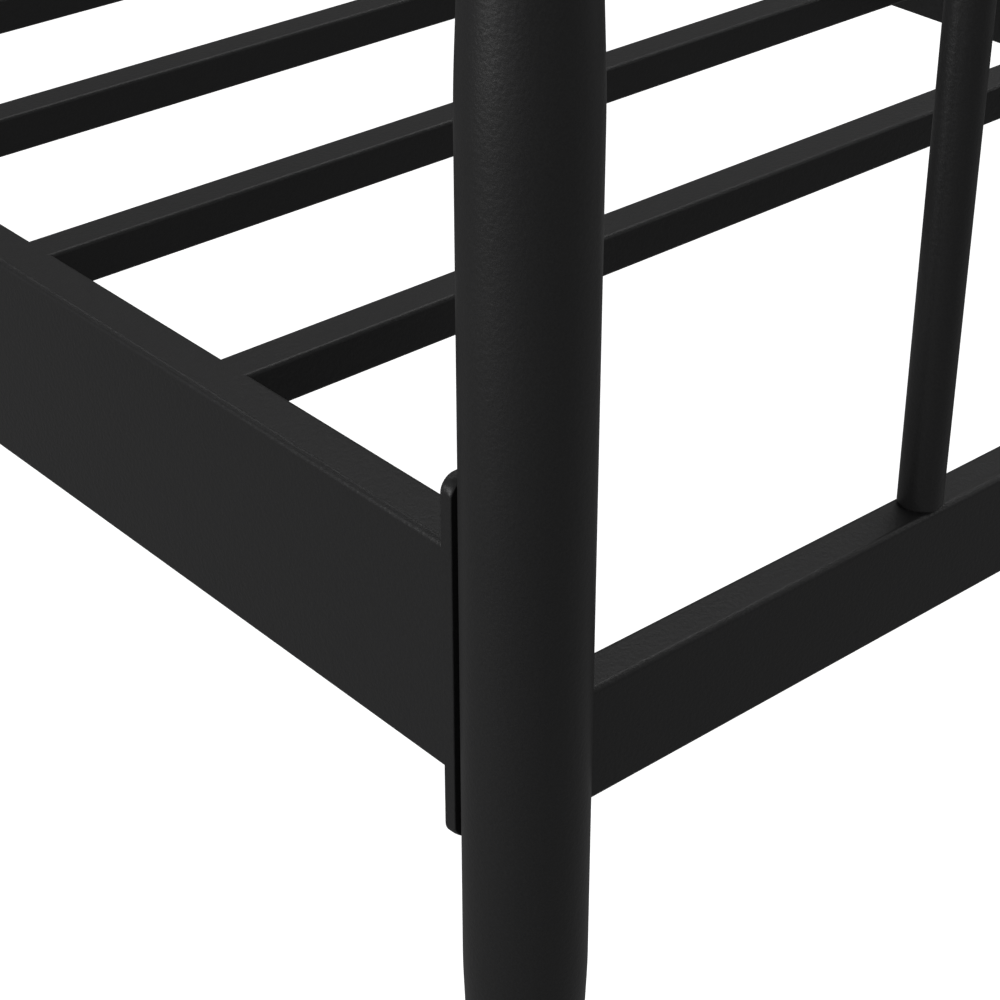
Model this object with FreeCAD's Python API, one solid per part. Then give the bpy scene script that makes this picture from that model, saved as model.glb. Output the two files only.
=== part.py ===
import FreeCAD, Part
import math
import os

# Steel bed frame with tapered round posts, rectangular rails, round spindles and square slats.
# Millimetres. The origin is on the floor under the middle of the bed.
# +Z is up, +Y points to the head end, and "left" is the -X side.

Vec = FreeCAD.Vector
X_AXIS = Vec(1, 0, 0)
Y_AXIS = Vec(0, 1, 0)
Z_AXIS = Vec(0, 0, 1)

# Overall layout
DECK_Z = 350.0            # top of the side rails and of the slats
POST_SPAN_X = 1014.0      # post axis to post axis across the bed
POST_SPAN_Y = 1930.0      # post axis to post axis along the bed
FOOT_POST_TOP = 700.0     # top of the cap on a foot post
HEAD_POST_TOP = 1090.0    # top of the cap on a head post

# Posts: round tube swaged to a cone at both ends
POST_R = 19.05
POST_WALL = 1.5
POST_BASE_Z = 10.0        # lower end of the tube, above the floor
POST_BASE_R = 12.1
POST_TIP_R = 10.3
LOWER_CONE_START = 143.7  # below the deck
UPPER_CONE_LENGTH = 204.3  # from the start of the upper cone to the tube's end
LOWER_BLEND_R = 305.0     # bend between cylinder and lower cone
UPPER_BLEND_R = 490.0
CAP_HEIGHT = 7.0
CAP_STEM_LENGTH = 12.0

# End rails, the crosswise tubes of the headboard and footboard
END_RAIL_DEPTH = 15.0     # along Y
END_RAIL_HEIGHT = 40.0
END_RAIL_WALL = 1.5
END_RAIL_CORNER = 2.0
LOWER_RAIL_DROP = 48.0    # deck to the top of the lower end rail
FOOT_TOP_RAIL_Z = 612.0   # middle of the footboard's top rail
HEAD_TOP_RAIL_Z = 1000.0  # middle of the headboard's top rail

# Spindles
SPINDLE_R = 7.5
SPINDLE_WALL = 1.2
SPINDLE_COUNT = 5

# Side rails and the plates welded to their ends
SIDE_RAIL_WIDTH = 17.4
SIDE_RAIL_HEIGHT = 80.0
SIDE_RAIL_WALL = 1.5
SIDE_RAIL_CORNER = 2.5
SIDE_RAIL_OUTSET = 1.9    # middle of the rail, outward of the post axis
PLATE_THICK = 4.7
PLATE_PROUD = 0.3         # plate past each side face of the rail
PLATE_ABOVE = 21.15       # plate above the rail's top
PLATE_BELOW = 24.7        # plate below the rail's bottom
PLATE_CORNER = 5.2
PLATE_EDGE = 0.4          # rounding of the plate's rims

# Slats, welded between the side rails with their tops flush
SLAT_SIZE = 15.4
SLAT_WALL = 1.2
SLAT_CORNER = 1.6
SLAT_COUNT = 15
SLAT_FIRST = 145.8        # foot post axis to the middle of the first slat
SLAT_PITCH = 113.8

# Beam under the middle of the slats, and the cradles that hold its ends
BEAM_WIDTH = 38.0
BEAM_HEIGHT = 25.0
BEAM_WALL = 1.5
BEAM_CORNER = 2.2
BEAM_END_GAP = 3.5        # beam's end to the end rail's inner face
CRADLE_THICK = 3.0
CRADLE_LENGTH = 45.0
CRADLE_SIDE_GAP = 0.2
CRADLE_CHEEK_HEIGHT = 21.0
CRADLE_TONGUE_DROP = 38.0 # tongue welded down the end rail's inner face
CRADLE_CORNER = 6.0
CRADLE_BEND_R = 2.4
CRADLE_BOLT_INSET = 26.0  # end rail's inner face to the cross bolt

# Fasteners, 6 mm thread
BOLT_R = 3.0
BOLT_HOLE_R = 3.3
BOLT_HEAD_R = 5.25
BOLT_HEAD_HEIGHT = 3.3
BOLT_CROWN_R = 2.36       # flat ring round the socket
BOLT_SHOULDER_R = 4.46    # a point on the head's dome
BOLT_SHOULDER_HEIGHT = 2.38
BOLT_POINT_R = 2.4        # chamfered end of the shank
BOLT_POINT_LENGTH = 0.6
SOCKET_FLATS = 4.0
SOCKET_DEPTH = 2.0
RAIL_BOLT_LENGTH = 18.0
RAIL_BOLT_ABOVE = 11.0    # above the rail's top
RAIL_BOLT_BELOW = 13.0    # below the rail's bottom
BUSH_R = 4.5
BUSH_LENGTH = 14.0
BUSH_PROUD = 0.5          # seat for the end plate, in front of the post
BUSH_BORE_R = 3.02
NUT_FLATS = 10.0
NUT_HEIGHT = 5.0
CRADLE_BOLT_LENGTH = 52.0

# Levelling feet
GLIDE_PAD_R = 13.0
GLIDE_PAD_HEIGHT = 7.5
GLIDE_PAD_RIM = 1.8
GLIDE_STUD_R = 4.0
GLIDE_STUD_TOP = 42.0
GLIDE_FLANGE_R = 8.0
GLIDE_FLANGE_BASE = 3.0
GLIDE_FLANGE_THICK = 2.5
SOCKET_PLUG_R = 10.45
SOCKET_PLUG_TOP = 34.0
SOCKET_RIM_R = 11.9
SOCKET_RIM_THICK = 2.0
SOCKET_BORE_R = 4.05

WELD_GAP = 0.03           # between a coped tube end and the post it is welded to
LEAST_INNER_CORNER = 0.4  # inside corner of a tube whose wall is as thick as its outside corner
NEAR = 0.1                # for picking the edges that lie on a face

# Places worked out from the driving dimensions
POST_X = POST_SPAN_X / 2
POST_Y = POST_SPAN_Y / 2
LOWER_RAIL_TOP = DECK_Z - LOWER_RAIL_DROP
END_RAIL_INNER_Y = POST_Y - END_RAIL_DEPTH / 2
SIDE_RAIL_X = POST_X + SIDE_RAIL_OUTSET
SIDE_RAIL_INNER_X = SIDE_RAIL_X - SIDE_RAIL_WIDTH / 2
SIDE_RAIL_Z = DECK_Z - SIDE_RAIL_HEIGHT / 2
SIDE_RAIL_END_Y = POST_Y - POST_R - BUSH_PROUD - PLATE_THICK
BEAM_TOP = DECK_Z - SLAT_SIZE
BEAM_Z = BEAM_TOP - BEAM_HEIGHT / 2
BEAM_BOTTOM = BEAM_TOP - BEAM_HEIGHT
CRADLE_INNER_X = BEAM_WIDTH / 2 + CRADLE_SIDE_GAP
CRADLE_OUTER_X = CRADLE_INNER_X + CRADLE_THICK
RAIL_BOLT_HEIGHTS = (DECK_Z + RAIL_BOLT_ABOVE, DECK_Z - SIDE_RAIL_HEIGHT - RAIL_BOLT_BELOW)

SIDES = (("left", -1), ("right", 1))
ENDS = (("foot", -1), ("head", 1))


def rounded_path(points, radii):
    """Edges through the points, with an arc of the given radius tangent to both runs at each inner point."""
    edges = []
    start = points[0]
    for corner, following, radius in zip(points[1:-1], points[2:], radii):
        run_in = (corner - start).normalize()
        run_out = (following - corner).normalize()
        half_turn = run_in.getAngle(run_out) / 2
        setback = radius * math.tan(half_turn)
        towards_centre = (run_out - run_in).normalize()
        arc_start = corner - run_in * setback
        arc_end = corner + run_out * setback
        arc_middle = corner + towards_centre * (radius / math.cos(half_turn) - radius)
        edges.append(Part.LineSegment(start, arc_start).toShape())
        edges.append(Part.Arc(arc_start, arc_middle, arc_end).toShape())
        start = arc_end
    edges.append(Part.LineSegment(start, points[-1]).toShape())
    return edges


def lines(*points):
    return [Part.LineSegment(a, b).toShape() for a, b in zip(points, points[1:])]


def revolved(edges):
    """Solid of revolution about Z from the edges of a closed profile in the XZ plane."""
    wire = Part.Wire(Part.__sortEdges__(edges))
    return Part.Face(wire).revolve(Vec(0, 0, 0), Z_AXIS, 360)


def rounded_bar(width, height, corner, length):
    """Bar along +Z with a rounded rectangular section centred on the axis."""
    bar = Part.makeBox(width, height, length, Vec(-width / 2, -height / 2, 0))
    long_edges = [edge for edge in bar.Edges if abs(edge.CenterOfMass.z - length / 2) < NEAR]
    return bar.makeFillet(corner, long_edges)


def rounded_tube(width, height, wall, corner, length):
    """Rectangular tube along +Z."""
    outside = rounded_bar(width, height, corner, length)
    inside = rounded_bar(width - 2 * wall, height - 2 * wall, max(corner - wall, LEAST_INNER_CORNER), length)
    return outside.cut(inside)


def laid(shape, direction, place):
    """Copy of a shape made along +Z, turned to the direction and moved to the place."""
    copy = shape.copy()
    copy.Placement = FreeCAD.Placement(place, FreeCAD.Rotation(Z_AXIS, direction))
    return copy


def cross_tube(size_y, size_z, wall, corner, half_length, y, z):
    """Rectangular tube along X, centred on the bed's middle plane."""
    tube = rounded_tube(size_z, size_y, wall, corner, 2 * half_length)
    return laid(tube, X_AXIS, Vec(-half_length, y, z))


def long_tube(size_x, size_z, wall, corner, half_length, x, z):
    """Rectangular tube along Y, centred on the bed's middle plane."""
    tube = rounded_tube(size_x, size_z, wall, corner, 2 * half_length)
    return laid(tube, Y_AXIS, Vec(x, -half_length, z))


def post_outline(tip_z, inset):
    """Outer line of a post, from its base to its tip, moved in towards the axis by the inset."""
    points = [
        Vec(POST_BASE_R - inset, 0, POST_BASE_Z),
        Vec(POST_R - inset, 0, DECK_Z - LOWER_CONE_START),
        Vec(POST_R - inset, 0, tip_z - UPPER_CONE_LENGTH),
        Vec(POST_TIP_R - inset, 0, tip_z),
    ]
    return rounded_path(points, [LOWER_BLEND_R, UPPER_BLEND_R]), points[0], points[-1]


def post_tube(tip_z):
    """Post about the Z axis, open at both ends."""
    outer, outer_base, outer_tip = post_outline(tip_z, 0)
    inner, inner_base, inner_tip = post_outline(tip_z, POST_WALL)
    return revolved(outer + inner + lines(outer_base, inner_base) + lines(outer_tip, inner_tip))


def post_envelope(tip_z):
    """The space a post takes, with the weld gap, for coping the tubes that meet it."""
    outer, base, tip = post_outline(tip_z, -WELD_GAP)
    return revolved(outer + lines(base, Vec(0, 0, base.z), Vec(0, 0, tip.z), tip))


def post(tip_z, side, end):
    """One post in place, with the two bush holes that face along the bed."""
    tube = laid(post_tube(tip_z), Z_AXIS, Vec(side * POST_X, end * POST_Y, 0))
    for z in RAIL_BOLT_HEIGHTS:
        start = Vec(side * POST_X, end * POST_Y, z)
        tube = tube.cut(Part.makeCylinder(BUSH_R + WELD_GAP, 2 * POST_R, start, Y_AXIS * -end))
    return tube


def post_cap(tip_z, side, end):
    """Domed plug in the upper end of a post."""
    stem_r = POST_TIP_R - POST_WALL - WELD_GAP
    dome = Part.Arc(Vec(POST_TIP_R, 0, 0), Vec(*dome_middle()), Vec(0, 0, CAP_HEIGHT)).toShape()
    stem = lines(
        Vec(0, 0, CAP_HEIGHT),
        Vec(0, 0, -CAP_STEM_LENGTH),
        Vec(stem_r, 0, -CAP_STEM_LENGTH),
        Vec(stem_r, 0, 0),
        Vec(POST_TIP_R, 0, 0),
    )
    return laid(revolved([dome] + stem), Z_AXIS, Vec(side * POST_X, end * POST_Y, tip_z))


def dome_middle():
    """A point halfway up the cap's spherical dome."""
    sphere_r = (POST_TIP_R ** 2 + CAP_HEIGHT ** 2) / (2 * CAP_HEIGHT)
    centre_z = CAP_HEIGHT - sphere_r
    z = CAP_HEIGHT / 2
    return math.sqrt(sphere_r ** 2 - (z - centre_z) ** 2), 0, z


def end_rail(tip_z, end, z):
    """Crosswise tube of an end frame, with its ends coped to the posts."""
    rail = cross_tube(END_RAIL_DEPTH, END_RAIL_HEIGHT, END_RAIL_WALL, END_RAIL_CORNER, POST_X, end * POST_Y, z)
    envelope = post_envelope(tip_z)
    for _, side in SIDES:
        rail = rail.cut(laid(envelope, Z_AXIS, Vec(side * POST_X, end * POST_Y, 0)))
    return rail


def spindle(x, end, top_z):
    """Round upright standing on the lower end rail."""
    base = Vec(x, end * POST_Y, LOWER_RAIL_TOP)
    height = top_z - LOWER_RAIL_TOP
    outside = Part.makeCylinder(SPINDLE_R, height, base)
    return outside.cut(Part.makeCylinder(SPINDLE_R - SPINDLE_WALL, height, base))


def side_rail(side):
    return long_tube(
        SIDE_RAIL_WIDTH, SIDE_RAIL_HEIGHT, SIDE_RAIL_WALL, SIDE_RAIL_CORNER,
        SIDE_RAIL_END_Y, side * SIDE_RAIL_X, SIDE_RAIL_Z,
    )


def rail_end_plate(side, end):
    """Plate on a side rail's end, taller than the rail, with one bolt hole above and one below it."""
    width = SIDE_RAIL_WIDTH + 2 * PLATE_PROUD
    height = PLATE_ABOVE + SIDE_RAIL_HEIGHT + PLATE_BELOW
    plate = rounded_bar(width, height, PLATE_CORNER, PLATE_THICK)
    rims = [edge for edge in plate.Edges if abs(edge.CenterOfMass.z - PLATE_THICK / 2) > NEAR]
    plate = plate.makeFillet(PLATE_EDGE, rims)
    middle_z = DECK_Z + PLATE_ABOVE - height / 2
    y = SIDE_RAIL_END_Y if end > 0 else -SIDE_RAIL_END_Y - PLATE_THICK
    plate = laid(plate, Y_AXIS, Vec(side * SIDE_RAIL_X, y, middle_z))
    for z in RAIL_BOLT_HEIGHTS:
        hole = Part.makeCylinder(BOLT_HOLE_R, PLATE_THICK, Vec(side * POST_X, y, z), Y_AXIS)
        plate = plate.cut(hole)
    return plate


def button_bolt(length):
    """Button-head bolt with a hexagon socket; the head's flat is at z = 0 and the shank runs down."""
    shoulder = Vec(BOLT_SHOULDER_R, 0, BOLT_SHOULDER_HEIGHT)
    crown = Vec(BOLT_CROWN_R, 0, BOLT_HEAD_HEIGHT)
    dome = Part.Arc(Vec(BOLT_HEAD_R, 0, 0), shoulder, crown).toShape()
    outline = lines(
        crown,
        Vec(0, 0, BOLT_HEAD_HEIGHT),
        Vec(0, 0, -length),
        Vec(BOLT_POINT_R, 0, -length),
        Vec(BOLT_R, 0, BOLT_POINT_LENGTH - length),
        Vec(BOLT_R, 0, 0),
        Vec(BOLT_HEAD_R, 0, 0),
    )
    socket = laid(hexagon(SOCKET_FLATS, SOCKET_DEPTH), Z_AXIS, Vec(0, 0, BOLT_HEAD_HEIGHT - SOCKET_DEPTH))
    return revolved([dome] + outline).cut(socket)


def hexagon(flats, height):
    """Hexagonal prism standing on z = 0."""
    corner_r = flats / math.sqrt(3)
    angles = [math.radians(60 * step) for step in range(7)]
    points = [Vec(corner_r * math.cos(angle), corner_r * math.sin(angle), 0) for angle in angles]
    return Part.Face(Part.makePolygon(points)).extrude(Z_AXIS * height)


def rail_bolts():
    """Bolts through the end plates, their heads on the rail's side of the plate."""
    bolt = button_bolt(RAIL_BOLT_LENGTH)
    return Part.makeCompound([
        laid(bolt, Y_AXIS * -end, Vec(side * POST_X, end * SIDE_RAIL_END_Y, z))
        for _, side in SIDES for _, end in ENDS for z in RAIL_BOLT_HEIGHTS
    ])


def rail_bolt_bushes():
    """Threaded bushes set in the posts; the end plates bear on their outer ends."""
    bush = Part.makeCylinder(BUSH_R, BUSH_LENGTH).cut(Part.makeCylinder(BUSH_BORE_R, BUSH_LENGTH))
    face_y = POST_Y - POST_R - BUSH_PROUD
    return Part.makeCompound([
        laid(bush, Y_AXIS * end, Vec(side * POST_X, end * face_y, z))
        for _, side in SIDES for _, end in ENDS for z in RAIL_BOLT_HEIGHTS
    ])


def slat_y(index):
    return -POST_Y + SLAT_FIRST + index * SLAT_PITCH


def slat(index):
    return cross_tube(
        SLAT_SIZE, SLAT_SIZE, SLAT_WALL, SLAT_CORNER,
        SIDE_RAIL_INNER_X, slat_y(index), DECK_Z - SLAT_SIZE / 2,
    )


def cradle_bolt_y(end):
    return end * (END_RAIL_INNER_Y - CRADLE_BOLT_INSET)


def centre_beam():
    """Tube under the slats, with a cross hole near each end."""
    half_length = END_RAIL_INNER_Y - BEAM_END_GAP
    beam = long_tube(BEAM_WIDTH, BEAM_HEIGHT, BEAM_WALL, BEAM_CORNER, half_length, 0, BEAM_Z)
    for _, end in ENDS:
        start = Vec(-BEAM_WIDTH, cradle_bolt_y(end), BEAM_Z)
        beam = beam.cut(Part.makeCylinder(BOLT_HOLE_R, 2 * BEAM_WIDTH, start, X_AXIS))
    return beam


def beam_cradle(end):
    """Bent steel saddle under a beam end, with a tongue welded to the end rail's inner face."""
    height = CRADLE_THICK + CRADLE_CHEEK_HEIGHT
    base_z = BEAM_BOTTOM - CRADLE_THICK
    trough = Part.makeBox(2 * CRADLE_OUTER_X, CRADLE_LENGTH, height, Vec(-CRADLE_OUTER_X, 0, base_z))
    hollow = Part.makeBox(2 * CRADLE_INNER_X, CRADLE_LENGTH, height, Vec(-CRADLE_INNER_X, 0, BEAM_BOTTOM))
    tongue = Part.makeBox(
        2 * CRADLE_INNER_X, CRADLE_THICK, CRADLE_TONGUE_DROP,
        Vec(-CRADLE_INNER_X, 0, base_z - CRADLE_TONGUE_DROP),
    )
    cross_hole = Part.makeCylinder(
        BOLT_HOLE_R, 4 * CRADLE_OUTER_X, Vec(-2 * CRADLE_OUTER_X, CRADLE_BOLT_INSET, BEAM_Z), X_AXIS,
    )
    bends = [
        edge for edge in trough.Edges
        if abs(edge.CenterOfMass.x) > CRADLE_OUTER_X - NEAR and edge.CenterOfMass.z < base_z + NEAR
    ]
    trough = trough.makeFillet(CRADLE_BEND_R, bends)
    free_corner = [
        edge for edge in trough.Edges
        if edge.CenterOfMass.y > CRADLE_LENGTH - NEAR and edge.CenterOfMass.z > base_z + height - NEAR
    ]
    trough = trough.makeFillet(CRADLE_CORNER, free_corner)
    cradle = trough.cut(hollow).fuse(tongue).removeSplitter().cut(cross_hole)
    turn = FreeCAD.Rotation(Z_AXIS, 180 if end > 0 else 0)
    cradle.Placement = FreeCAD.Placement(Vec(0, end * END_RAIL_INNER_Y, 0), turn)
    return cradle


def cradle_bolts():
    bolt = button_bolt(CRADLE_BOLT_LENGTH)
    return Part.makeCompound([
        laid(bolt, X_AXIS * -1, Vec(-CRADLE_OUTER_X, cradle_bolt_y(end), BEAM_Z)) for _, end in ENDS
    ])


def cradle_nuts():
    nut = hexagon(NUT_FLATS, NUT_HEIGHT).cut(Part.makeCylinder(BUSH_BORE_R, NUT_HEIGHT))
    return Part.makeCompound([
        laid(nut, X_AXIS, Vec(CRADLE_OUTER_X, cradle_bolt_y(end), BEAM_Z)) for _, end in ENDS
    ])


def glide_sockets():
    """Threaded plugs in the lower ends of the posts."""
    plug = Part.makeCylinder(SOCKET_PLUG_R, SOCKET_PLUG_TOP - POST_BASE_Z, Vec(0, 0, POST_BASE_Z))
    rim_z = POST_BASE_Z - SOCKET_RIM_THICK
    rim = Part.makeCylinder(SOCKET_RIM_R, SOCKET_RIM_THICK, Vec(0, 0, rim_z))
    bore = Part.makeCylinder(SOCKET_BORE_R, SOCKET_PLUG_TOP - rim_z, Vec(0, 0, rim_z))
    socket = plug.fuse(rim).removeSplitter().cut(bore)
    return Part.makeCompound([
        laid(socket, Z_AXIS, Vec(side * POST_X, end * POST_Y, 0)) for _, side in SIDES for _, end in ENDS
    ])


def glide_stud(side, end):
    """Threaded stud with a round flange that is moulded into the pad."""
    foot = Vec(side * POST_X, end * POST_Y, GLIDE_FLANGE_BASE)
    stud = Part.makeCylinder(GLIDE_STUD_R, GLIDE_STUD_TOP - GLIDE_FLANGE_BASE, foot)
    return stud.fuse(Part.makeCylinder(GLIDE_FLANGE_R, GLIDE_FLANGE_THICK, foot)).removeSplitter()


def glide_pad(side, end):
    """Plastic foot with rounded rims, moulded round the stud's flange."""
    centre = Vec(side * POST_X, end * POST_Y, 0)
    pad = Part.makeCylinder(GLIDE_PAD_R, GLIDE_PAD_HEIGHT, centre)
    pad = pad.makeFillet(GLIDE_PAD_RIM, pad.Edges)
    return pad.cut(glide_stud(side, end))


def save(name, shape):
    shape.exportStep(os.path.join("parts", name + ".step"))


os.makedirs("parts", exist_ok=True)

END_FRAMES = {"foot": (FOOT_POST_TOP, FOOT_TOP_RAIL_Z), "head": (HEAD_POST_TOP, HEAD_TOP_RAIL_Z)}
caps = []

for end_name, end in ENDS:
    post_top, top_rail_z = END_FRAMES[end_name]
    tip_z = post_top - CAP_HEIGHT
    for side_name, side in SIDES:
        save(f"post_{end_name}_{side_name}", post(tip_z, side, end))
        save(f"rail_end_plate_{end_name}_{side_name}", rail_end_plate(side, end))
        save(f"glide_stud_{end_name}_{side_name}", glide_stud(side, end))
        save(f"glide_pad_{end_name}_{side_name}", glide_pad(side, end))
        caps.append(post_cap(tip_z, side, end))
    save(f"{end_name}_lower_rail", end_rail(tip_z, end, LOWER_RAIL_TOP - END_RAIL_HEIGHT / 2))
    save(f"{end_name}_top_rail", end_rail(tip_z, end, top_rail_z))
    for number in range(1, SPINDLE_COUNT + 1):
        x = -POST_X + number * POST_SPAN_X / (SPINDLE_COUNT + 1)
        save(f"{end_name}_spindle_{number}", spindle(x, end, top_rail_z - END_RAIL_HEIGHT / 2))
    save(f"beam_cradle_{end_name}", beam_cradle(end))

for side_name, side in SIDES:
    save(f"side_rail_{side_name}", side_rail(side))

for index in range(SLAT_COUNT):
    save(f"slat_{index + 1:02d}", slat(index))

save("post_caps", Part.makeCompound(caps))
save("centre_beam", centre_beam())
save("cradle_bolts", cradle_bolts())
save("cradle_nuts", cradle_nuts())
save("rail_bolts", rail_bolts())
save("rail_bolt_bushes", rail_bolt_bushes())
save("glide_sockets", glide_sockets())
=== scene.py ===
import math

import bmesh
import bpy
from mathutils import Euler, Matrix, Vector


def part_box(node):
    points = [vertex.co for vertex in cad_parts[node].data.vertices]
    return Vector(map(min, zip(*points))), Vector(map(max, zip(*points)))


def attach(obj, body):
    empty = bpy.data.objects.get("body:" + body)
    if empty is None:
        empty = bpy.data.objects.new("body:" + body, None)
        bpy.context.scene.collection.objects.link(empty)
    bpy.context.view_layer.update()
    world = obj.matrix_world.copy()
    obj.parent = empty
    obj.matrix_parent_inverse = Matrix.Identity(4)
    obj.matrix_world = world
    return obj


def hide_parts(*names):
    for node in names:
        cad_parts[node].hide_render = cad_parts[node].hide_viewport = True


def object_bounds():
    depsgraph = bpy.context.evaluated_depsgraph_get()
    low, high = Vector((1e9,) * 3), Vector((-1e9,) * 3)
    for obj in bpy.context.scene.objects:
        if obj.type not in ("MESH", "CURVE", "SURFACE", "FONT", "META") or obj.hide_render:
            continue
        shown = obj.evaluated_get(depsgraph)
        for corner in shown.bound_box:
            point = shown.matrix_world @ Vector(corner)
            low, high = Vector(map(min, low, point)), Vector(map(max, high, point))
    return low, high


# Metal bed frame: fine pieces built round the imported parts. Metres, +Z up, +Y to the head end.

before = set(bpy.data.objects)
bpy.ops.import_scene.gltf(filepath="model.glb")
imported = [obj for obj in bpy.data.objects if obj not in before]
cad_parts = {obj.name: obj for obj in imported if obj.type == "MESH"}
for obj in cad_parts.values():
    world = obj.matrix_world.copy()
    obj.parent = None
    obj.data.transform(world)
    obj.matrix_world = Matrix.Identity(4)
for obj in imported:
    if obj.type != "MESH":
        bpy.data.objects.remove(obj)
cad_low, cad_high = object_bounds()

MM = 0.001

# Camera
CAMERA_PLACE = Vector((-0.89063, -1.39823, 0.72344))
CAMERA_TURN = Euler((math.radians(58.609), math.radians(0.0745), math.radians(-40.829)), "XYZ")
CAMERA_LENS = 90.09
CAMERA_SENSOR = 36.0
CAMERA_REACH = 100              # how far it sees

# Lights: name, azimuth and elevation in degrees, width, watts
LIGHT_DISTANCE = 6.0
LIGHT_AIM_Y = 0.3               # share of the way from the bed's middle to its foot end
LIGHTS = (
    ("left_low", 260, 8, 3.0, 93),
    ("left_foot", 285, 10, 4.0, 30),
    ("left_high", 219, 34, 1.0, 4),
    ("foot_high", 345, 35, 2.4, 29.5),
    ("right_foot_low", 60, 15, 2.4, 22.5),
    ("right_foot_high", 70, 44, 1.4, 12),
    ("right_high", 106, 55, 1.6, 17),
    ("right_low", 110, 8, 2.4, 10),
    ("right_head_high", 139, 60, 2.4, 19),
    ("right_head_wide", 150, 45, 3.4, 3.4),
    ("head_high", 195, 48, 1.0, 10),
)
AIR_LIGHT = 0.1325              # strength of the even light from all round

# Studio paper
STUDIO_R = 30.0
STUDIO_STEPS = 96
FLOOR_GLOW = 0.9
BACKDROP_GLOW = 1.1
BACKDROP_FOOT = -0.01           # the dome is cut off a little under the floor
PAPER_DARK = (0.86, 0.86, 0.86)
PAPER_LIGHT = (0.88, 0.88, 0.88)
# Painted contact shadow: the paper's glow is dimmed by ambient occlusion within this reach of the bed
PAINTED_CONTACT_SHADOW_REACH = 0.09
PAINTED_CONTACT_SHADOW_FULL = 0.2       # share of open air at which the painted shadow is darkest and the paper no longer glows

# Counts
SPINDLES_PER_END = 5
SLATS = 15

# Posts
POST_WALL = 1.5 * MM
POST_BASE_R = 12.1 * MM
POST_TIP_R = 10.3 * MM
LOWER_CONE_START = 143.7 * MM   # below the deck
UPPER_CONE_LENGTH = 204.3 * MM  # below the tube's upper end
LOWER_BLEND_R = 305 * MM
UPPER_BLEND_R = 490 * MM
CAP_HEIGHT = 7 * MM
CAP_STEM = 12 * MM

# Corners of the tubes and the plates
END_RAIL_CORNER = 2.0 * MM
SIDE_RAIL_CORNER = 2.5 * MM
SLAT_CORNER = 1.6 * MM
BEAM_CORNER = 2.2 * MM
BEAM_WALL = 1.5 * MM
PLATE_CORNER = 5.2 * MM
PLATE_RAIL_RIM = 0.25 * MM      # rounding of the rim on the rail's side
PLATE_POST_RIM = 0.45 * MM      # rounding of the rim on the post's side
PLATE_CROWN_DEPTH = 0.5 * MM    # how far the ground corners are crowned, in from the outline
PLATE_CROWN_WIDTH = 3.4 * MM    # and across the plate's thickness
SPINDLE_SEAM = 0.9 * MM         # height and depth of the open seam round a spindle's end

# Levelling feet
STUD_R = 4.0 * MM
STUD_FLANGE_THICK = 2.5 * MM    # moulded into the pad
THREAD_PITCH = 1.25 * MM
THREAD_DEPTH = 0.6 * MM
THREAD_LENGTH = 17 * MM
THREAD_STEPS = 8                # rings per turn
THREAD_FLANK = 1.3              # slope of a flank; above 1 leaves a flat root
PAD_RIM = 1.8 * MM
SOCKET_RIM_R = 11.9 * MM
SOCKET_RIM_THICK = 2.0 * MM
SOCKET_PLUG_R = 10.45 * MM
SOCKET_BORE_R = 4.05 * MM
SOCKET_EDGE = 0.5 * MM

# Welds
WELD_SIZE = 1.4 * MM
WELD_LEAST = 0.08 * MM          # size that a bead fades out to
WELD_FADE = 2.0 * MM            # length over which it fades
WELD_RIPPLE = 0.13              # share of the size
WELD_RIPPLE_PITCH = 2.4 * MM
WELD_SPACING = 0.6 * MM
WELD_PROFILE_STEPS = 4
SLAT_WELD_SIZE = 2.2 * MM       # under a slat, where its rounded corner leaves a groove
SLAT_WELD_INSET = 0.9 * MM
SINK = 0.3 * MM                 # how far a welded end or a bead runs into its neighbour

# Smoothness
CORNER_STEPS = 8
ROUND_STEPS = 96
BEND_STEPS = 16
SHARP_ANGLE = math.radians(35)
FLAT_FACE_WEIGHT = 100          # large flat faces set the shading of their edges

# Middle range of a noise, which materials spread over their colours and values
NOISE_LOW = 0.3
NOISE_HIGH = 0.7

# The part's own directions and places
X = Vector((1, 0, 0))
Y = Vector((0, 1, 0))
Z = Vector((0, 0, 1))
SIDES = (("left", -1), ("right", 1))
ENDS = (("foot", -1), ("head", 1))
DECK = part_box("side_rail_left")[1].z


# ---------------------------------------------------------------- outlines

def arc_points(before, corner, after, radius, steps):
    """Points of the arc of that radius tangent to both runs at the corner."""
    run_in = (corner - before).normalized()
    run_out = (after - corner).normalized()
    turn = run_in.angle(run_out)
    setback = radius * math.tan(turn / 2)
    to_centre = (run_out - run_in).normalized()
    centre = corner + to_centre * (radius / math.cos(turn / 2))
    start = corner - run_in * setback - centre
    finish = corner + run_out * setback - centre
    points = []
    for step in range(steps + 1):
        share = step / steps
        a = math.sin((1 - share) * turn) / math.sin(turn)
        b = math.sin(share * turn) / math.sin(turn)
        points.append(centre + start * a + finish * b)
    return points


def rounded_line(points, radii, steps):
    """An open outline in which each inner point is rounded to its radius; 0 keeps it sharp."""
    points = [Vector(point) for point in points]
    outline = [points[0]]
    for before, corner, after, radius in zip(points, points[1:-1], points[2:], radii):
        if radius:
            outline += arc_points(before, corner, after, radius, steps)
        else:
            outline.append(corner)
    return outline + [points[-1]]


def rounded_rectangle(width, height, corner):
    """(point, outward direction) pairs round a closed outline centred on the origin."""
    outline = []
    for quarter, (sx, sy) in enumerate(((1, 1), (-1, 1), (-1, -1), (1, -1))):
        centre = Vector((sx * (width / 2 - corner), sy * (height / 2 - corner)))
        for step in range(CORNER_STEPS + 1):
            angle = math.pi / 2 * (quarter + step / CORNER_STEPS)
            outward = Vector((math.cos(angle), math.sin(angle)))
            outline.append((centre + corner * outward, outward))
    return outline


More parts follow.
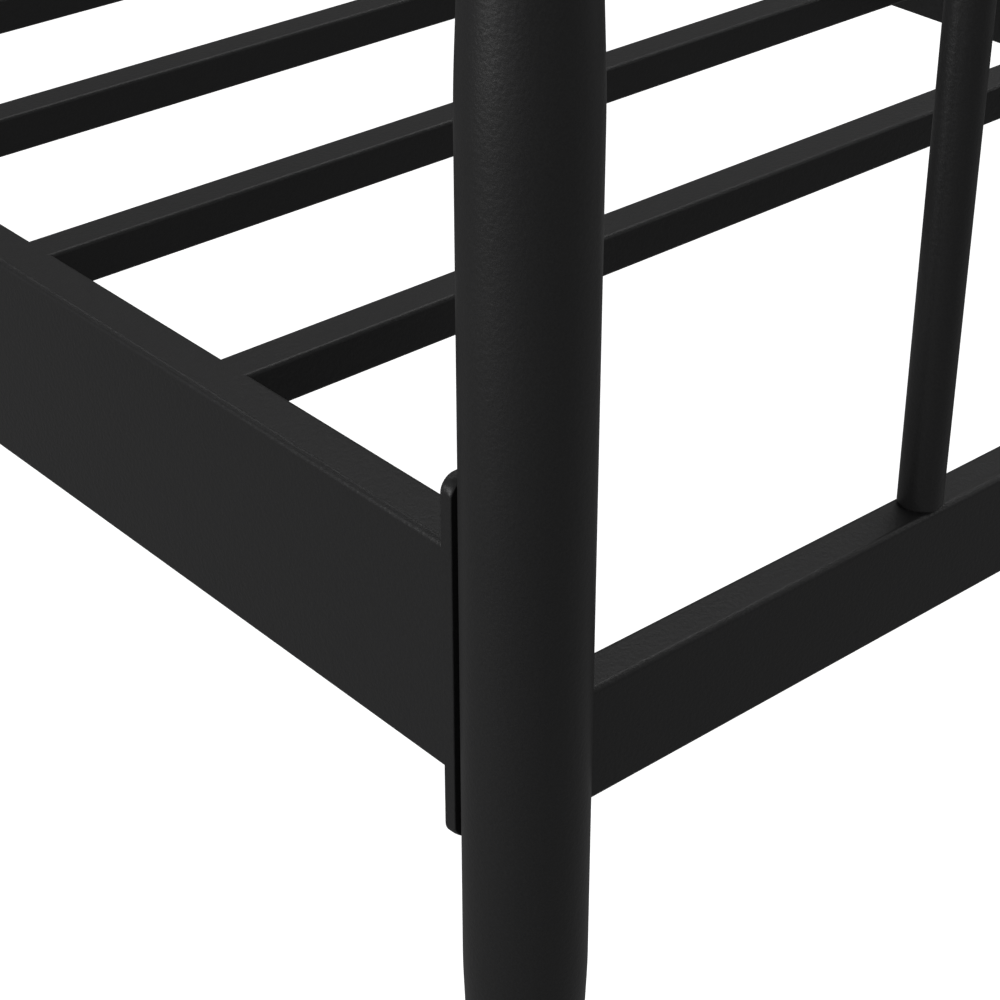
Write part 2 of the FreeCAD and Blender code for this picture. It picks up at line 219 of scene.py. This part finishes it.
def evenly(outline, spacing):
    """The same closed outline with more pairs along its straight runs."""
    finer = []
    for (point, outward), (following, _) in zip(outline, outline[1:] + outline[:1]):
        steps = max(1, round((following - point).length / spacing))
        finer += [(point.lerp(following, step / steps), outward) for step in range(steps)]
    return finer


# ---------------------------------------------------------------- meshes

def add_loop(bm, points):
    return [bm.verts.new(point) for point in points]


def bridge(bm, first, second):
    """Faces between two closed loops of as many vertices."""
    for index in range(len(first)):
        following = (index + 1) % len(first)
        bm.faces.new((first[index], first[following], second[following], second[index]))


def close(bm, loop, centre):
    """A fan from the loop to a point in its middle."""
    middle = bm.verts.new(centre)
    for index in range(len(loop)):
        bm.faces.new((loop[index], loop[(index + 1) % len(loop)], middle))


def lathe(bm, profile, axis, closed=False):
    """Turns a profile of (radius, height) points about a vertical axis; closed joins its two ends."""
    loops = []
    for radius, height in profile:
        ring = []
        for step in range(ROUND_STEPS):
            angle = 2 * math.pi * step / ROUND_STEPS
            across, along = radius * math.cos(angle), radius * math.sin(angle)
            ring.append((axis.x + across, axis.y + along, height))
        loops.append(ring)
    poles = [profile[0][0] == 0, profile[-1][0] == 0]
    rings = loops[int(poles[0]):len(loops) - int(poles[1])]
    made = [add_loop(bm, ring) for ring in rings]
    for first, second in zip(made, made[1:]):
        bridge(bm, first, second)
    if poles[0]:
        close(bm, made[0], (axis.x, axis.y, profile[0][1]))
    if poles[1]:
        close(bm, made[-1], (axis.x, axis.y, profile[-1][1]))
    if closed:
        bridge(bm, made[-1], made[0])


def straight_bar(bm, outline, start, finish, across, up, inner=None):
    """A bar from start to finish, solid, or a tube if it has an inner outline."""
    ends = []
    for centre in (start, finish):
        loops = [
            add_loop(bm, [centre + across * point.x + up * point.y for point, _ in line])
            for line in (outline, inner) if line
        ]
        if inner:
            bridge(bm, *loops)
        else:
            close(bm, loops[0], centre)
        ends.append(loops)
    for first, second in zip(*ends):
        bridge(bm, first, second)


def bead(bm, seam, size, closed=False):
    """A rippled, slightly hollow weld bead in the corner between two faces.
    The seam holds (corner point, direction up one face, direction up the other)."""
    rows = []
    travelled = 0.0
    length = sum((b[0] - a[0]).length for a, b in zip(seam, seam[1:]))
    waves = max(1, round(length / WELD_RIPPLE_PITCH))
    before = seam[0][0]
    for place, first, second in seam:
        travelled += (place - before).length
        before = place
        fade = 1.0 if closed else min(1.0, travelled / WELD_FADE, (length - travelled) / WELD_FADE)
        ripple = 1 + WELD_RIPPLE * math.sin(2 * math.pi * waves * travelled / length)
        reach = max(WELD_LEAST, size * fade * ripple)
        row = []
        for step in range(WELD_PROFILE_STEPS + 1):
            part = step / WELD_PROFILE_STEPS
            turn = math.pi / 2 * part
            along_first = reach * ((1 - part) + (1 - math.sin(turn))) / 2
            along_second = reach * (part + (1 - math.cos(turn))) / 2
            row.append(place + first * along_first + second * along_second)
        # The bead's root is sunk in the corner, so it shows no open underside.
        row.append(place - (first + second).normalized() * SINK)
        rows.append(add_loop(bm, row))
    for one, another in zip(rows, rows[1:]):
        bridge(bm, one, another)
    if closed:
        bridge(bm, rows[-1], rows[0])
    else:
        bm.faces.new(rows[0])
        bm.faces.new(rows[-1])


def straight_seam(start, finish, first, second):
    """A seam from start to finish with the same two directions all along."""
    steps = round((finish - start).length / WELD_SPACING)
    return [(start.lerp(finish, step / steps), first, second) for step in range(steps + 1)]


def piece(name, bm, material, body, nodes=()):
    """Makes the mesh an object that rides on a body and stands for the CAD nodes."""
    bmesh.ops.recalc_face_normals(bm, faces=bm.faces)
    mesh = bpy.data.meshes.new(name)
    bm.to_mesh(mesh)
    bm.free()
    mesh.polygons.foreach_set("use_smooth", [True] * len(mesh.polygons))
    mesh.set_sharp_from_angle(angle=SHARP_ANGLE)
    mesh.materials.append(material)
    made = bpy.data.objects.new(name, mesh)
    bpy.context.scene.collection.objects.link(made)
    normals = made.modifiers.new("flat_faces_stay_flat", "WEIGHTED_NORMAL")
    normals.keep_sharp = True
    normals.weight = FLAT_FACE_WEIGHT
    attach(made, body)
    if nodes:
        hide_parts(*nodes)


def coated(name, bm, *nodes):
    """A powder-coated steel piece of the frame."""
    piece(name, bm, COAT, "frame", nodes)


# ---------------------------------------------------------------- materials

class Nodes:
    """Short calls for building a material's node tree."""

    def __init__(self, name):
        self.material = bpy.data.materials.new(name)
        self.material.use_nodes = True
        self.tree = self.material.node_tree
        self.tree.nodes.clear()
        output = self.tree.nodes.new("ShaderNodeOutputMaterial")
        self.shader = self.tree.nodes.new("ShaderNodeBsdfPrincipled")
        self.join(self.shader, "BSDF", output, "Surface")
        self.place = self.tree.nodes.new("ShaderNodeTexCoord")

    def join(self, source, out_name, target, in_name):
        self.tree.links.new(source.outputs[out_name], target.inputs[in_name])

    def noise(self, scale, detail, roughness=0.5):
        """Noise in the object's own space; scale is in cycles per metre."""
        node = self.tree.nodes.new("ShaderNodeTexNoise")
        node.inputs["Scale"].default_value = scale
        node.inputs["Detail"].default_value = detail
        node.inputs["Roughness"].default_value = roughness
        self.join(self.place, "Object", node, "Vector")
        return node

    def spread(self, source, low, high):
        """Maps a noise's middle range to a range of values."""
        node = self.tree.nodes.new("ShaderNodeMapRange")
        node.inputs["From Min"].default_value = NOISE_LOW
        node.inputs["From Max"].default_value = NOISE_HIGH
        node.inputs["To Min"].default_value = low
        node.inputs["To Max"].default_value = high
        self.join(source, "Fac", node, "Value")
        return node

    def colour(self, source, dark, light):
        """Sets the base colour to vary between two colours with a noise."""
        ramp = self.tree.nodes.new("ShaderNodeValToRGB")
        ramp.color_ramp.elements[0].position = NOISE_LOW
        ramp.color_ramp.elements[1].position = NOISE_HIGH
        ramp.color_ramp.elements[0].color = (*dark, 1)
        ramp.color_ramp.elements[1].color = (*light, 1)
        self.join(source, "Fac", ramp, "Fac")
        self.join(ramp, "Color", self.shader, "Base Color")

    def bump(self, source, distance, strength, under=None):
        """A bump layer, on top of another layer if there is one."""
        node = self.tree.nodes.new("ShaderNodeBump")
        node.inputs["Distance"].default_value = distance
        node.inputs["Strength"].default_value = strength
        self.join(source, "Fac", node, "Height")
        if under:
            self.join(under, "Normal", node, "Normal")
        return node


def powder_coat():
    """Black fine-texture powder coat: a soft sheen over a slight orange peel and a fine grain."""
    made = Nodes("powder_coat_black")
    peel = made.noise(scale=650, detail=2)
    grain = made.noise(scale=1600, detail=3, roughness=0.6)
    cloud = made.noise(scale=9, detail=3)
    made.colour(grain, dark=(0.017, 0.017, 0.0175), light=(0.025, 0.025, 0.0255))
    made.join(made.spread(cloud, 0.35, 0.41), "Result", made.shader, "Roughness")
    wavy = made.bump(peel, distance=0.12 * MM, strength=1.0)
    fine = made.bump(grain, distance=0.03 * MM, strength=1.0, under=wavy)
    made.join(fine, "Normal", made.shader, "Normal")
    return made.material


def black_plastic():
    """Moulded plastic with a light spark-eroded grain."""
    made = Nodes("moulded_plastic_black")
    grain = made.noise(scale=2200, detail=2)
    cloud = made.noise(scale=60, detail=3)
    made.colour(cloud, dark=(0.02, 0.02, 0.021), light=(0.028, 0.028, 0.029))
    made.join(made.spread(grain, 0.42, 0.55), "Result", made.shader, "Roughness")
    made.join(made.bump(grain, distance=0.02 * MM, strength=0.6), "Normal", made.shader, "Normal")
    return made.material


def black_zinc():
    """Black zinc plating on steel, a little cloudy."""
    made = Nodes("zinc_plate_black")
    cloud = made.noise(scale=300, detail=4)
    grain = made.noise(scale=1800, detail=2)
    made.colour(cloud, dark=(0.035, 0.036, 0.038), light=(0.07, 0.07, 0.074))
    made.join(made.spread(cloud, 0.28, 0.42), "Result", made.shader, "Roughness")
    made.join(made.bump(grain, distance=0.008 * MM, strength=0.5), "Normal", made.shader, "Normal")
    made.shader.inputs["Metallic"].default_value = 0.85
    return made.material


COAT = powder_coat()
PLASTIC = black_plastic()
ZINC = black_zinc()


# ---------------------------------------------------------------- posts

def post_shape(end_name, side_name):
    """A post's axis, and its outer line from the base to the tip as (radius, height) points."""
    low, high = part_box(f"post_{end_name}_{side_name}")
    radius = (high.x - low.x) / 2
    points = [
        (POST_BASE_R, low.z),
        (radius, DECK - LOWER_CONE_START),
        (radius, high.z - UPPER_CONE_LENGTH),
        (POST_TIP_R, high.z),
    ]
    return (low + high) / 2, rounded_line(points, [LOWER_BLEND_R, UPPER_BLEND_R], BEND_STEPS)


def radius_at(outline, height):
    """Radius of a post's outline at a height between its ends."""
    for (r0, z0), (r1, z1) in zip(outline, outline[1:]):
        if z0 <= height <= z1:
            return r0 + (r1 - r0) * (height - z0) / (z1 - z0)


def make_post(end_name, side_name):
    axis, outline = post_shape(end_name, side_name)
    outer = [tuple(point) for point in outline]
    inner = [(radius - POST_WALL, height) for radius, height in reversed(outer)]
    bm = bmesh.new()
    lathe(bm, outer + inner, axis, closed=True)
    name = f"post_{end_name}_{side_name}"
    coated(f"{name}_coated", bm, name)


def make_caps():
    """Domed plastic plugs in the tips of the four posts."""
    bm = bmesh.new()
    sphere_r = (POST_TIP_R ** 2 + CAP_HEIGHT ** 2) / (2 * CAP_HEIGHT)
    half_angle = math.asin(POST_TIP_R / sphere_r)
    stem_r = POST_TIP_R - POST_WALL
    for end_name, _ in ENDS:
        for side_name, _ in SIDES:
            axis, outline = post_shape(end_name, side_name)
            tip = outline[-1][1]
            dome = []
            for step in range(BEND_STEPS + 1):
                angle = half_angle * step / BEND_STEPS
                height = tip + CAP_HEIGHT - sphere_r * (1 - math.cos(angle))
                dome.append((sphere_r * math.sin(angle), height))
            stem = [(stem_r, tip), (stem_r, tip - CAP_STEM), (0, tip - CAP_STEM)]
            lathe(bm, dome + stem, axis)
    piece("post_caps_moulded", bm, PLASTIC, "frame", ["post_caps"])


# ---------------------------------------------------------------- end frames

def point_on_post(axis, post_line, side, middle, point):
    """Where the line along a crosswise rail through a point of its outline meets the post."""
    height = middle.z + point.y
    reach = math.sqrt(radius_at(post_line, height) ** 2 - point.x ** 2)
    return Vector((axis.x - side * reach, middle.y + point.x, height))


def make_end_rail(end_name, level):
    """Crosswise tube whose ends are coped to the posts, with a weld round each."""
    name = f"{end_name}_{level}_rail"
    low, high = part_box(name)
    middle = (low + high) / 2
    outline = rounded_rectangle(high.y - low.y, high.z - low.z, END_RAIL_CORNER)
    bm = bmesh.new()
    welds = bmesh.new()
    ends = []
    for side_name, side in SIDES:
        axis, post_line = post_shape(end_name, side_name)
        post = (axis, post_line, side, middle)
        sunk = X * side * SINK
        loop = add_loop(bm, [point_on_post(*post, point) + sunk for point, _ in outline])
        close(bm, loop, point_on_post(*post, Vector((0, 0))) + sunk)
        ends.append(loop)
        seam = []
        for point, outward in evenly(outline, WELD_SPACING):
            place = point_on_post(*post, point)
            away_from_axis = (place - Vector((axis.x, axis.y, place.z))).normalized()
            up_post = Vector((0, outward.x, outward.y))
            up_post = (up_post - away_from_axis * up_post.dot(away_from_axis)).normalized()
            seam.append((place, up_post, X * -side))
        bead(welds, seam, WELD_SIZE, closed=True)
    bridge(bm, *ends)
    coated(f"{name}_coated", bm, name)
    coated(f"{name}_welds", welds)


def make_spindle(end_name, number):
    """Round upright; a narrower neck runs into each rail and leaves a fine open seam."""
    name = f"{end_name}_spindle_{number}"
    low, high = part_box(name)
    axis = (low + high) / 2
    radius = (high.x - low.x) / 2
    neck_r = radius - SPINDLE_SEAM
    lower_half = [
        (0, low.z - END_RAIL_CORNER),
        (neck_r, low.z - END_RAIL_CORNER),
        (neck_r, low.z + SPINDLE_SEAM),
        (radius, low.z + SPINDLE_SEAM),
    ]
    upper_half = [(r, low.z + high.z - height) for r, height in reversed(lower_half)]
    bm = bmesh.new()
    lathe(bm, lower_half + upper_half, axis)
    coated(f"{name}_coated", bm, name)


# ---------------------------------------------------------------- side rails, end plates and deck

def make_side_rail(side_name):
    name = f"side_rail_{side_name}"
    low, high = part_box(name)
    middle = (low + high) / 2
    outline = rounded_rectangle(high.x - low.x, high.z - low.z, SIDE_RAIL_CORNER)
    bm = bmesh.new()
    start = Vector((middle.x, low.y, middle.z))
    finish = Vector((middle.x, high.y, middle.z))
    straight_bar(bm, outline, start, finish, X, Z)
    coated(f"{name}_coated", bm, name)


def make_end_plate(end_name, end, side_name):
    """Plate with softened rims, welded to the rail.
    Its round corners are crowned on the side that faces the post."""
    name = f"rail_end_plate_{end_name}_{side_name}"
    low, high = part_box(name)
    middle = (low + high) / 2
    rail_low, rail_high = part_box(f"side_rail_{side_name}")
    outline = rounded_rectangle(high.x - low.x, high.z - low.z, PLATE_CORNER)
    bm = bmesh.new()
    loops = []
    for face_y, inward in ((low.y, 1), (high.y, -1)):
        faces_post = inward != end
        curve = []
        for step in range(CORNER_STEPS + 1):
            angle = math.pi / 2 * step / CORNER_STEPS
            ring = []
            for point, outward in outline:
                deep = wide = PLATE_RAIL_RIM
                if faces_post:
                    # 0 along the straight edges, 1 half-way round a corner
                    crowned = 2 * abs(outward.x * outward.y)
                    deep = PLATE_POST_RIM + PLATE_CROWN_DEPTH * crowned
                    wide = PLATE_POST_RIM + PLATE_CROWN_WIDTH * crowned
                place = point - outward * deep * (1 - math.sin(angle))
                y = face_y + inward * wide * (1 - math.cos(angle))
                ring.append((middle.x + place.x, y, middle.z + place.y))
            curve.append(add_loop(bm, ring))
        loops += curve if inward > 0 else curve[::-1]
    for first, second in zip(loops, loops[1:]):
        bridge(bm, first, second)
    close(bm, loops[0], (middle.x, low.y, middle.z))
    close(bm, loops[-1], (middle.x, high.y, middle.z))
    coated(f"{name}_coated", bm, name)
    welds = bmesh.new()
    seam_y = rail_low.y if end < 0 else rail_high.y
    for level, up in ((rail_high.z, Z), (rail_low.z, -Z)):
        start = Vector((rail_low.x + SIDE_RAIL_CORNER, seam_y, level))
        finish = Vector((rail_high.x - SIDE_RAIL_CORNER, seam_y, level))
        bead(welds, straight_seam(start, finish, up, Y * -end), WELD_SIZE)
    coated(f"{name}_welds", welds)


def make_slat(number):
    """Square tube that runs flush into the side rails' rounded top edges.
    Beads run round its sides and bottom at the rails, and across it at the beam."""
    name = f"slat_{number:02d}"
    low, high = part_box(name)
    middle = (low + high) / 2
    outline = rounded_rectangle(high.y - low.y, high.z - low.z, SLAT_CORNER)
    bm = bmesh.new()
    start = Vector((low.x - SIDE_RAIL_CORNER, middle.y, middle.z))
    finish = Vector((high.x + SIDE_RAIL_CORNER, middle.y, middle.z))
    straight_bar(bm, outline, start, finish, Y, Z)
    coated(f"{name}_coated", bm, name)
    welds = bmesh.new()
    # At the rails the beads stop where the slat runs out of the rail's rounded edge.
    weld_top = (high.z - low.z) / 2 - SIDE_RAIL_CORNER
    loop = evenly(outline, WELD_SPACING)
    first_low = next(
        index for index, (point, _) in enumerate(loop) if point.x < 0 and point.y < weld_top
    )
    loop = loop[first_low:] + loop[:first_low]
    covered = [(point, outward) for point, outward in loop if point.y < weld_top]
    for x, side in ((low.x, -1), (high.x, 1)):
        seam = [
            (Vector((x, middle.y + p.x, middle.z + p.y)), Vector((0, out.x, out.y)), X * -side)
            for p, out in covered
        ]
        bead(welds, seam, WELD_SIZE)
    beam_low, beam_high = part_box("centre_beam")
    for face_y, out in ((low.y + SLAT_WELD_INSET, -Y), (high.y - SLAT_WELD_INSET, Y)):
        start = Vector((beam_low.x + BEAM_CORNER, face_y, beam_high.z))
        finish = Vector((beam_high.x - BEAM_CORNER, face_y, beam_high.z))
        bead(welds, straight_seam(start, finish, out, Z), SLAT_WELD_SIZE)
    coated(f"{name}_welds", welds)


def make_beam():
    """Open-ended tube under the slats."""
    low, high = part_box("centre_beam")
    middle = (low + high) / 2
    width = high.x - low.x
    height = high.z - low.z
    outer = rounded_rectangle(width, height, BEAM_CORNER)
    bore_corner = BEAM_CORNER - BEAM_WALL
    inner = rounded_rectangle(width - 2 * BEAM_WALL, height - 2 * BEAM_WALL, bore_corner)
    bm = bmesh.new()
    start = Vector((middle.x, low.y, middle.z))
    finish = Vector((middle.x, high.y, middle.z))
    straight_bar(bm, outer, start, finish, X, Z, inner)
    coated("centre_beam_coated", bm, "centre_beam")


# ---------------------------------------------------------------- levelling feet

def make_sockets():
    """Threaded plugs in the posts' lower ends, each with a rim that hides the tube's edge."""
    low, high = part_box("glide_sockets")
    rim_top = low.z + SOCKET_RIM_THICK
    outside = rounded_line(
        [
            (SOCKET_BORE_R, low.z),
            (SOCKET_RIM_R, low.z),
            (SOCKET_RIM_R, rim_top),
            (SOCKET_PLUG_R, rim_top),
        ],
        [SOCKET_EDGE, 0],
        CORNER_STEPS,
    )
    bm = bmesh.new()
    profile = [tuple(p) for p in outside] + [(SOCKET_PLUG_R, high.z), (SOCKET_BORE_R, high.z)]
    for end_name, _ in ENDS:
        for side_name, _ in SIDES:
            lathe(bm, profile, post_shape(end_name, side_name)[0], closed=True)
    piece("glide_sockets_moulded", bm, PLASTIC, "frame", ["glide_sockets"])


def threaded_rod(bm, axis, bottom, top):
    """The stud's rod: a helical thread on its lower stretch, plain above."""
    count = round(THREAD_LENGTH / THREAD_PITCH * THREAD_STEPS)
    rings = []
    for level in range(count + 2):
        threaded = level <= count
        ring = []
        for step in range(ROUND_STEPS):
            phase = (level / THREAD_STEPS - step / ROUND_STEPS) % 1.0
            depth = min(1.0, THREAD_FLANK * abs(2 * phase - 1)) if threaded else 1.0
            angle = 2 * math.pi * step / ROUND_STEPS
            out = Vector((math.cos(angle), math.sin(angle), 0))
            height = bottom + THREAD_LENGTH * level / count if threaded else top
            ring.append(Vector((axis.x, axis.y, height)) + out * (STUD_R - THREAD_DEPTH * depth))
        rings.append(add_loop(bm, ring))
    for first, second in zip(rings, rings[1:]):
        bridge(bm, first, second)
    close(bm, rings[0], (axis.x, axis.y, bottom))
    close(bm, rings[-1], (axis.x, axis.y, top))


def make_glide(end_name, side_name):
    """Levelling foot: a plastic pad moulded on the flange of a threaded stud."""
    corner = f"{end_name}_{side_name}"
    pad = f"glide_pad_{corner}"
    low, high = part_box(pad)
    axis = (low + high) / 2
    pad_r = (high.x - low.x) / 2
    outside = rounded_line(
        [(0, low.z), (pad_r, low.z), (pad_r, high.z), (STUD_R, high.z)],
        [PAD_RIM, PAD_RIM],
        CORNER_STEPS,
    )
    recess = [(STUD_R, high.z - PAD_RIM), (0, high.z - PAD_RIM)]
    bm = bmesh.new()
    lathe(bm, [tuple(point) for point in outside] + recess, axis)
    piece(f"{pad}_moulded", bm, PLASTIC, f"glide_{corner}", [pad])
    stud = f"glide_stud_{corner}"
    stud_low, stud_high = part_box(stud)
    bm = bmesh.new()
    threaded_rod(bm, axis, stud_low.z + STUD_FLANGE_THICK, stud_high.z)
    piece(f"{stud}_threaded", bm, ZINC, f"glide_{corner}", [stud])


# ---------------------------------------------------------------- the bed

for end_name, end in ENDS:
    for side_name, _ in SIDES:
        make_post(end_name, side_name)
        make_end_plate(end_name, end, side_name)
        make_glide(end_name, side_name)
    make_end_rail(end_name, "lower")
    make_end_rail(end_name, "top")
    for number in range(1, SPINDLES_PER_END + 1):
        make_spindle(end_name, number)

for side_name, _ in SIDES:
    make_side_rail(side_name)

for number in range(1, SLATS + 1):
    make_slat(number)

make_beam()
make_caps()
make_sockets()


# ---------------------------------------------------------------- carried-over parts

def finish_for(node):
    """Material of a CAD node, most of which stay hidden behind their pieces."""
    if node.startswith("glide_pad") or node in ("glide_sockets", "post_caps"):
        return PLASTIC
    if node.startswith(("glide_stud", "rail_bolt", "cradle_bolt", "cradle_nut")):
        return ZINC
    return COAT


for node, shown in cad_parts.items():
    for material_slot in shown.material_slots:
        material_slot.material = finish_for(node)
    if not shown.material_slots:
        shown.data.materials.append(finish_for(node))


# ---------------------------------------------------------------- studio

def soft_box(name, azimuth, elevation, width, watts):
    """Square soft light that looks at the bed; azimuth 0 is the foot end and 90 the right side."""
    aim = Vector(((cad_low.x + cad_high.x) / 2, cad_low.y * LIGHT_AIM_Y, DECK))
    turn = math.radians(azimuth)
    climb = math.radians(elevation)
    level = math.cos(climb)
    away = Vector((math.sin(turn) * level, -math.cos(turn) * level, math.sin(climb)))
    data = bpy.data.lights.new(name, "AREA")
    data.shape = "SQUARE"
    data.size = width
    data.energy = watts
    light = bpy.data.objects.new(name, data)
    light.location = aim + away * LIGHT_DISTANCE
    light.rotation_euler = (-away).to_track_quat("-Z", "Y").to_euler()
    light.visible_camera = False
    bpy.context.scene.collection.objects.link(light)


def studio_white(name, glow):
    """Pale matt paper that glows a little brighter than its light makes it; soft contact shadows are
    painted in, by dimming the glow where ambient occlusion finds the bed near.
    """
    made = Nodes(name)
    made.colour(made.noise(scale=0.6, detail=2), PAPER_DARK, PAPER_LIGHT)
    # Painted shadow: ambient occlusion dims the paper's glow near the bed, standing in for its contact
    # shadow
    open_air = made.tree.nodes.new("ShaderNodeAmbientOcclusion")
    open_air.inputs["Distance"].default_value = PAINTED_CONTACT_SHADOW_REACH
    shade = made.tree.nodes.new("ShaderNodeMapRange")
    shade.inputs["From Min"].default_value = PAINTED_CONTACT_SHADOW_FULL
    shade.inputs["To Max"].default_value = glow
    made.join(open_air, "AO", shade, "Value")
    made.join(shade, "Result", made.shader, "Emission Strength")
    made.shader.inputs["Roughness"].default_value = 0.9
    made.shader.inputs["Specular IOR Level"].default_value = 0.0
    made.shader.inputs["Emission Color"].default_value = (1, 1, 1, 1)
    return made.material


def stage_piece(name, bm, material):
    """Part of the studio: only the camera sees it, so it neither tints nor lights the bed."""
    mesh = bpy.data.meshes.new(name)
    bm.to_mesh(mesh)
    bm.free()
    mesh.materials.append(material)
    made = bpy.data.objects.new(name, mesh)
    bpy.context.scene.collection.objects.link(made)
    made.visible_diffuse = False
    made.visible_glossy = False
    made.visible_shadow = False


bm = bmesh.new()
bmesh.ops.create_circle(bm, cap_ends=True, segments=STUDIO_STEPS, radius=STUDIO_R)
stage_piece("floor", bm, studio_white("floor_paper", FLOOR_GLOW))

bm = bmesh.new()
bmesh.ops.create_uvsphere(
    bm, u_segments=STUDIO_STEPS, v_segments=STUDIO_STEPS // 2, radius=STUDIO_R
)
under_floor = [vert for vert in bm.verts if vert.co.z < BACKDROP_FOOT]
bmesh.ops.delete(bm, geom=under_floor, context="VERTS")
stage_piece("backdrop", bm, studio_white("backdrop_paper", BACKDROP_GLOW))

for light in LIGHTS:
    soft_box(*light)

world = bpy.data.worlds.new("studio_air")
world.use_nodes = True
air = world.node_tree.nodes["Background"]
air.inputs["Color"].default_value = (1, 1, 1, 1)
air.inputs["Strength"].default_value = AIR_LIGHT
bpy.context.scene.world = world
bpy.context.scene.view_settings.view_transform = "Standard"

camera_data = bpy.data.cameras.new("camera")
camera_data.lens = CAMERA_LENS
camera_data.sensor_width = CAMERA_SENSOR
camera_data.clip_end = CAMERA_REACH
camera = bpy.data.objects.new("camera", camera_data)
camera.location = CAMERA_PLACE
camera.rotation_euler = CAMERA_TURN
bpy.context.scene.collection.objects.link(camera)
bpy.context.scene.camera = camera
